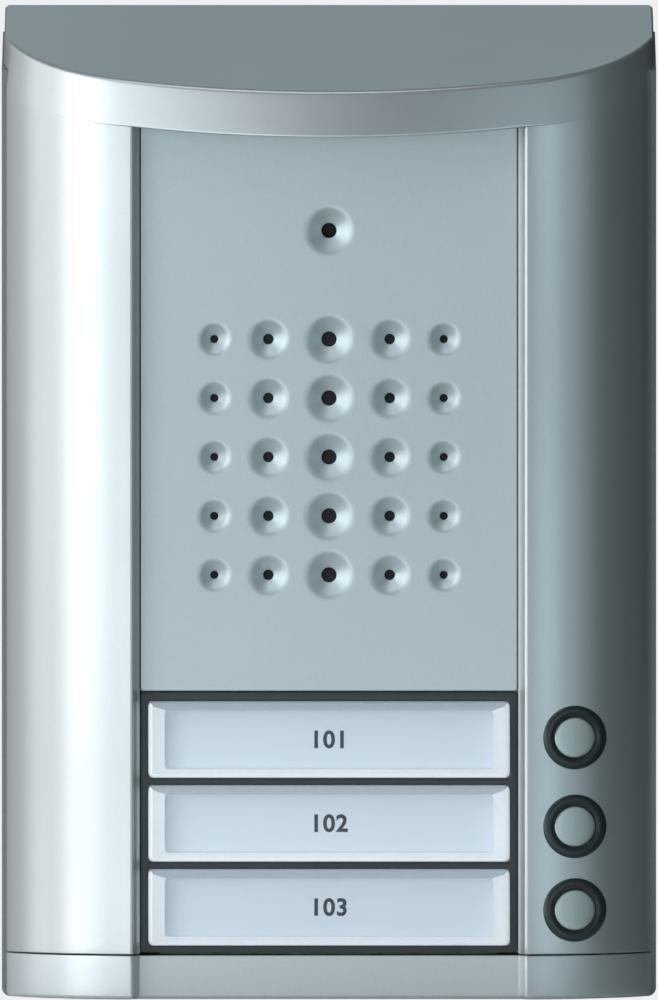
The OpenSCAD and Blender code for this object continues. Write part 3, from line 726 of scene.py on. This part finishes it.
def build_speaker_panel():
    made = Builder()
    cx = (PANEL_LO[0] + PANEL_HI[0]) / 2
    cz = (PANEL_LO[2] + PANEL_HI[2]) / 2
    half_w = (PANEL_HI[0] - PANEL_LO[0]) / 2
    half_h = (PANEL_HI[2] - PANEL_LO[2]) / 2
    back = PANEL_Y + PANEL_THICK
    outline = [
        (rounded_rectangle(cx, cz, half_w - inset, half_h - inset, PANEL_CORNER), PANEL_Y + depth)
        for inset, depth in PANEL_SHAPE
    ]
    made.grid(loops_to_rows(outline), closed=True)
    rims, bores = [], []
    for x, z, dimple, hole in sound_holes():
        profile = dimple_profile(dimple, hole)
        rows = [[(px, PANEL_Y + d, pz) for px, pz in circle_loop(x, z, r)] for r, d in profile]
        rows.append([(px, back, pz) for px, pz in circle_loop(x, z, hole)])
        made.grid(rows, closed=True)
        rims.append((x, z, profile[0][0]))
        bores.append((x, z, hole))

    def within(circles):
        return lambda p: any(math.hypot(p.x - x, p.y - z) < r * 0.998 for x, z, r in circles)

    fill(made, PANEL_Y, outline[-1][0], [circle_loop(*c) for c in rims], within(rims))
    fill(made, back, outline[0][0], [circle_loop(*c) for c in bores], within(bores))
    obj = made.to_object("speaker_panel_plate", [PANEL_PAINT])
    return place(obj, "housing", "metallic_paint", "speaker_panel")


MEMBRANE_CORNER = 6


def build_membrane():
    """Black cloth behind the sound holes: a thin rounded square."""
    lo, hi = box_mm("acoustic_membrane")
    half, z = (hi[0] - lo[0]) / 2, (lo[2] + hi[2]) / 2
    made = Builder()
    loops = [
        (rounded_rectangle(0, z, half - inset, half - inset, MEMBRANE_CORNER - inset), y)
        for inset, y in ((0, hi[1]), (0, lo[1] + 0.1), (0.1, lo[1]))
    ]
    rows = loops_to_rows(loops)
    made.grid(rows, closed=True)
    made.face(*rows[0])
    made.face(*rows[-1])
    obj = made.to_object("acoustic_membrane_cloth", [SLOT_MATERIALS["membrane"]])
    return place(obj, "housing", "membrane", "acoustic_membrane")


# ---------------------------------------------------------------- nameplates
WINDOW_NODES = {i: box_mm(f"window_{i}") for i in (1, 2, 3)}
OPENING_GAP = 0.1
FRAME_THICK = 1.35
FRAME_CORNER = 0.5
WINDOW_SHAPE = ((0, 0.72), (0.03, 0.6), (0.5, 0.1), (0.62, 0.02), (0.8, 0))  # inset, depth: bevel to border
FIELD_SHAPE = ((0.1, 0.03), (0.28, 0.15), (0.4, 0.18))  # inset, depth: border to sunken field
FIELD_CORNER = 0.8
TOP_COLUMNS = range(3, 8)  # the quads along a window's upper edge, which get the painted shade


def build_nameplate_frame():
    made = Builder()
    half_w = (FRAME_HI[0] - FRAME_LO[0]) / 2
    cz = (FRAME_HI[2] + FRAME_LO[2]) / 2
    half_h = (FRAME_HI[2] - FRAME_LO[2]) / 2
    front, back = FRAME_LO[1], FRAME_LO[1] + FRAME_THICK
    shape = ((0, back), (0, front + 0.25), (0.07, front + 0.07), (0.25, front))
    outer = [
        (rounded_rectangle(0, cz, half_w - inset, half_h - inset, FRAME_CORNER), y) for inset, y in shape
    ]
    made.grid(loops_to_rows(outer), closed=True)
    front_holes, back_holes, rooms = [], [], []
    for lo, hi in WINDOW_NODES.values():
        z = (lo[2] + hi[2]) / 2
        w, h = (hi[0] - lo[0]) / 2 + OPENING_GAP, (hi[2] - lo[2]) / 2 + OPENING_GAP
        loops = [(rounded_rectangle(0, z, w + inset, h + inset, FRAME_CORNER), y) for inset, y in shape]
        made.grid(loops_to_rows(loops), closed=True)
        front_holes.append(loops[-1][0])
        back_holes.append(loops[0][0])
        rooms.append((z, w, h))

    def within(p):
        return any(abs(p.x) < w and abs(p.y - z) < h for z, w, h in rooms)

    fill(made, front, outer[-1][0], front_holes, within)
    fill(made, back, outer[0][0], back_holes, within)
    obj = made.to_object("nameplate_frame_plate", [FRAME_PLASTIC])
    return place(obj, "housing", "frame_plastic", "nameplate_frame")


def build_window(i):
    """A clear window: bevelled edges, a flat border and a slightly sunken field over its card."""
    lo, hi = WINDOW_NODES[i]
    z = (lo[2] + hi[2]) / 2
    w, h = (hi[0] - lo[0]) / 2, (hi[2] - lo[2]) / 2
    front, back = lo[1], hi[1]
    card_lo, card_hi = box_mm(f"name_card_{i}")
    card_w, card_h = card_hi[0], (card_hi[2] - card_lo[2]) / 2
    made = Builder()
    rim = []
    for inset, y in [(0, back)] + [(inset, front + depth) for inset, depth in WINDOW_SHAPE]:
        rim.append((rounded_rectangle(0, z, w - inset, h - inset, max(0.9 - inset, 0.3)), y))
    outline = rim + [(rounded_rectangle(0, z, card_w, card_h, FIELD_CORNER), front)]
    field = outline[-1:]
    for inset, depth in FIELD_SHAPE:
        loop = rounded_rectangle(0, z, card_w - inset, card_h - inset, FIELD_CORNER)
        field.append((loop, front + depth))
    edge, border, rows = loops_to_rows(rim[:-1]), loops_to_rows(outline[-3:]), loops_to_rows(field)
    made.material = 1
    made.face(*edge[0])
    # Along the upper edge, rim and border take the darker material: painted shade.
    for rim_material, border_material, along_top in ((1, 2, False), (3, 3, True)):

        def elsewhere(k, _):
            return (k in TOP_COLUMNS) != along_top

        made.material = rim_material
        made.grid(edge, closed=True, skip=elsewhere)
        made.material = border_material
        made.grid(border, closed=True, skip=elsewhere)
    made.material = 0
    made.grid(rows, closed=True)
    made.face(*rows[-1])
    obj = made.to_object(f"window_{i}_pane", [WINDOW, WINDOW_RIM, WINDOW_SIDE, WINDOW_TOP_PAINTED_SHADE])
    return place(obj, "housing", "clear_window", f"window_{i}")


def build_name_card(i):
    """A paper card with softly rounded corners, and its flat number as a separate printed layer."""
    lo, hi = box_mm(f"name_card_{i}")
    z = (lo[2] + hi[2]) / 2
    made = Builder()
    loops = [
        (rounded_rectangle(0, z, hi[0] - inset, (hi[2] - lo[2]) / 2 - inset, 0.6), y)
        for inset, y in ((0.05, hi[1]), (0, hi[1] - 0.05), (0, lo[1] + 0.05), (0.05, lo[1]))
    ]
    rows = loops_to_rows(loops)
    made.grid(rows, closed=True)
    made.face(*rows[0])
    made.face(*rows[-1])
    card = made.to_object(f"name_card_{i}_paper", [CARD])
    place(card, "housing", "card_paper", f"name_card_{i}")
    number = build_number(f"name_card_{i}_number", f"10{i}", lo[1], z)
    place(number, "housing", "card_paper")


NUMBER_HEIGHT = 3.1
NUMBER_WEIGHT = 0.026  # how far the strokes are thickened, for a size of 1
NUMBER_SPACING = 1.08


def build_number(name, digits, y, z):
    """Printed digits, 0.03 mm proud of the card."""
    curve = bpy.data.curves.new(name + "_text", "FONT")
    curve.body = digits
    curve.align_x = "CENTER"
    curve.align_y = "CENTER"
    curve.size = 1.0
    curve.offset = NUMBER_WEIGHT
    curve.space_character = NUMBER_SPACING
    text = bpy.data.objects.new(name + "_text", curve)
    bpy.context.scene.collection.objects.link(text)
    bpy.context.view_layer.update()
    flat = bpy.data.meshes.new_from_object(text.evaluated_get(bpy.context.evaluated_depsgraph_get()))
    bpy.data.objects.remove(text)
    bm = bmesh.new()
    bm.from_mesh(flat)
    top = max(v.co.y for v in bm.verts)
    low = min(v.co.y for v in bm.verts)
    scale = NUMBER_HEIGHT / (top - low)
    middle = (top + low) / 2
    made = bmesh.ops.extrude_face_region(bm, geom=bm.faces[:])
    lifted = {v for v in made["geom"] if isinstance(v, bmesh.types.BMVert)}
    for v in bm.verts:
        depth = y - 0.03 if v in lifted else y + 0.02
        v.co = Vector((v.co.x * scale, depth, z + (v.co.y - middle) * scale)) * MM
    bmesh.ops.recalc_face_normals(bm, faces=bm.faces)
    mesh = bpy.data.meshes.new(name)
    bm.to_mesh(mesh)
    bm.free()
    mesh.materials.append(INK)
    obj = bpy.data.objects.new(name, mesh)
    bpy.context.scene.collection.objects.link(obj)
    return obj


# ---------------------------------------------------------------- call buttons
POINT_R = 0.05  # a radius below this counts as a point
RING_SEGMENTS, CAP_SEGMENTS = 84, 72


def turned(name, material, z, profile, segments, ends=True):
    """A shape turned round a button's axis. A profile point is (radius, rise over the wing, depth), where
    the depth, if it is given, replaces the rise. With ends, a face closes each end that has a radius."""
    made = Builder()
    rows = []
    for radius, rise, depth in profile:
        row = []
        for a in steps(0, 2 * math.pi, segments)[:-1]:
            x = BUTTON_X + radius * math.cos(a)
            y = wing_y(x) - rise if depth is None else depth
            row.append((x, y, z + radius * math.sin(a)))
        rows.append(row)
    made.grid(rows, closed=True)
    for row, radius in ((rows[0], profile[0][0]), (rows[-1], profile[-1][0])):
        if ends and radius > POINT_R:
            made.face(*row)
    return made.to_object(name, [material])


RING_RISE = 0.52
SLEEVE_BACK = -26.2


def build_button_ring(i):
    """Bezel with a rounded face on a sleeve through the wing."""
    width = RING_OUT - RING_IN
    face = []
    for t in steps(0, 1, 14):
        swell = math.sin(math.pi * t) ** 0.55
        face.append((RING_OUT - width * t, -0.02 + RING_RISE * swell, None))
    profile = [(RING_OUT, -0.35, None)] + face
    profile += [(RING_IN, None, SLEEVE_BACK), (SLEEVE_R, None, SLEEVE_BACK), (SLEEVE_R, -0.35, None)]
    profile.append(profile[0])
    obj = turned(f"button_ring_{i}_bezel", RING_PLASTIC, BUTTON_Z[i], profile, RING_SEGMENTS, ends=False)
    return place(obj, "housing", "ring_plastic", f"button_ring_{i}")


def build_button_cap(i):
    """Metal cap that continues the wing's surface, with a soft rim."""
    back = box_mm(f"button_cap_{i}")[1][1]
    profile = [
        (CAP_R - 0.2, None, back),
        (CAP_R, None, back - 0.2),
        (CAP_R, -0.32, None),
        (CAP_R - 0.03, -0.2, None),
        (CAP_R - 0.1, -0.09, None),
        (CAP_R - 0.22, -0.02, None),
        (CAP_R - 0.4, 0.0, None),
        (CAP_R * 0.66, 0.0, None),
        (CAP_R * 0.33, 0.0, None),
        (0.01, 0.0, None),
    ]
    obj = turned(f"button_cap_{i}_metal", BUTTON_METAL, BUTTON_Z[i], profile, CAP_SEGMENTS)
    return place(obj, f"button_{i}", "button_metal", f"button_cap_{i}")


SPRING_TURNS = 5
SPRING_STEPS = 28
WIRE_R = 0.25
WIRE_SIDES = 12


def build_button_spring(i):
    """Return spring between the guide in the housing and the stem's collar, built as a coil of fixed length.
    """
    node = f"button_spring_{i}"
    lo, hi = box_mm(node)
    x, z = (lo[0] + hi[0]) / 2, BUTTON_Z[i]
    coil_r = (hi[0] - lo[0]) / 2 - WIRE_R
    front, back = lo[1] + WIRE_R, hi[1] - WIRE_R
    made = Builder()
    rings = SPRING_TURNS * SPRING_STEPS
    rows = []
    for k in range(rings + 1):
        turn = 2 * math.pi * k / SPRING_STEPS
        row = []
        for a in steps(0, 2 * math.pi, WIRE_SIDES)[:-1]:
            r = coil_r + WIRE_R * math.cos(a)
            y = front + (back - front) * k / rings + WIRE_R * math.sin(a)
            row.append((x + r * math.cos(turn), y, z + r * math.sin(turn)))
        rows.append(row)
    made.grid(rows, closed=True)
    made.face(*rows[0])
    made.face(*rows[-1])
    obj = made.to_object(f"{node}_coil", [SLOT_MATERIALS[SLOTS[node]]])
    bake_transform(obj)
    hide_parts(node)


# ---------------------------------------------------------------- carried-over CAD nodes
BEVELLED = {"rear_housing": 0.25, "lock_screw": 0.12, "cable_grommet": 0.25}


def dress_cad_nodes():
    """Gives each CAD node that still shows the material of its slot, and softens the outer ones' edges."""
    for name, obj in frame["nodes"].items():
        if obj.hide_render:
            continue
        obj.data.materials.clear()
        obj.data.materials.append(SLOT_MATERIALS[SLOTS[name]])
        if name in BEVELLED:
            weld = obj.modifiers.new("Weld", "WELD")
            weld.merge_threshold = 0.000002
            edge = obj.modifiers.new("Edge", "BEVEL")
            edge.width = BEVELLED[name] * MM
            edge.segments = 3
            edge.limit_method = "ANGLE"
            edge.angle_limit = math.radians(50)
            edge.use_clamp_overlap = True
            shade = obj.modifiers.new("Shading", "WEIGHTED_NORMAL")
            shade.keep_sharp = True


# ---------------------------------------------------------------- stage, light and camera
CAMERA_DISTANCE = 4.5
CAMERA_TILT = math.radians(1.0)
PICTURE_HEIGHT = 0.1727  # what the picture's long side spans at the object
SENSOR = 36.0
AIM_Z = -0.0003


def add_camera():
    data = bpy.data.cameras.new("Camera")
    data.sensor_width = SENSOR
    data.lens = SENSOR * (CAMERA_DISTANCE + JOINT_Y * MM) / PICTURE_HEIGHT
    data.clip_start, data.clip_end = 0.5, 40
    cam = bpy.data.objects.new("Camera", data)
    bpy.context.scene.collection.objects.link(cam)
    target = Vector((0, 0, AIM_Z))
    away = Vector((0, -math.cos(CAMERA_TILT), math.sin(CAMERA_TILT)))
    cam.location = target + away * CAMERA_DISTANCE
    cam.rotation_mode = "QUATERNION"
    cam.rotation_quaternion = (-away).to_track_quat("-Z", "Y")
    bpy.context.scene.camera = cam


# Soft lights, strong on the left and fading round to the right: name, azimuth, elevation, distance,
# width, height, power, tint
NEUTRAL, COOL, COLD = (1.0, 0.99, 1.0), (0.94, 0.99, 1.02), (0.78, 1.0, 1.06)
SOFTBOXES = (
    ("left_back", -118, 8, 1.4, 0.55, 1.3, 1, COOL),
    ("left", -92, 8, 1.4, 0.55, 1.3, 4, NEUTRAL),
    ("left_front", -66, 6, 1.4, 0.55, 1.3, 4, NEUTRAL),
    ("near_left", -52, 14, 0.40, 0.16, 0.45, 0.7, COOL),
    ("front_left", -32, 0, 1.4, 0.5, 1.0, 3, COOL),
    ("front", -14, -8, 1.4, 0.4, 0.7, 3, COOL),
    ("front_low", 8, -14, 1.4, 0.4, 0.6, 1, COOL),
    ("right_front", 32, -7, 1.4, 0.45, 0.8, 2, COLD),
    ("right", 54, 3, 1.4, 0.5, 1.1, 1, COLD),
    ("top", -20, 66, 1.4, 0.9, 0.7, 4, COOL),
    ("behind", 180, 42, 1.4, 0.9, 0.6, 1, COLD),
)


def add_softbox(name, azimuth, elevation, distance, width, height, power, tint):
    """An area light that faces the object. Azimuth 0 is in front, and positive is to the right."""
    data = bpy.data.lights.new(name, "AREA")
    data.shape = "RECTANGLE"
    data.size, data.size_y = width, height
    data.energy = power
    data.color = tint
    light = bpy.data.objects.new(name, data)
    bpy.context.scene.collection.objects.link(light)
    a, e = math.radians(azimuth), math.radians(elevation)
    away = Vector((math.sin(a) * math.cos(e), -math.cos(a) * math.cos(e), math.sin(e)))
    light.location = away * distance
    light.rotation_mode = "QUATERNION"
    light.rotation_quaternion = away.to_track_quat("Z", "Y")
    light.visible_camera = False
    return light


def add_world():
    """Pale backdrop for the camera, and dim grey surroundings for the reflections."""
    world = bpy.data.worlds.new("World")
    world.use_nodes = True
    nodes, links = world.node_tree.nodes, world.node_tree.links
    nodes.clear()
    path = nodes.new("ShaderNodeLightPath")
    seen = nodes.new("ShaderNodeBackground")
    seen.inputs["Color"].default_value = (0.86, 0.87, 0.88, 1)
    around = nodes.new("ShaderNodeBackground")
    around.inputs["Color"].default_value = (0.80, 0.92, 1.0, 1)
    around.inputs["Strength"].default_value = 0.02
    mix = nodes.new("ShaderNodeMixShader")
    out = nodes.new("ShaderNodeOutputWorld")
    links.new(path.outputs["Is Camera Ray"], mix.inputs["Fac"])
    links.new(around.outputs["Background"], mix.inputs[1])
    links.new(seen.outputs["Background"], mix.inputs[2])
    links.new(mix.outputs["Shader"], out.inputs["Surface"])
    bpy.context.scene.world = world


FLOOR_GAP = 6
FLOOR_RADII = (115, 80, 40)


def add_floor():
    """A round pale floor a little below the object, which really hangs on a wall."""
    made = Builder()
    z = CAP_BOTTOM - FLOOR_GAP
    rows = [[(x, y, z) for x, y in circle_loop(0, 0, r, 96)] for r in FLOOR_RADII]
    made.grid(rows, closed=True)
    made.face(*rows[-1])
    floor = made.to_object("floor", [FLOOR], outward=False)


add_camera()
add_world()
add_floor()
for softbox in SOFTBOXES:
    add_softbox(*softbox)
bpy.context.scene.view_settings.view_transform = "Standard"

build_front_cover()
build_bottom_cap()
build_speaker_panel()
build_membrane()
build_nameplate_frame()
for number in (1, 2, 3):
    build_window(number)
    build_name_card(number)
    build_button_ring(number)
    build_button_cap(number)
    build_button_spring(number)
dress_cad_nodes()
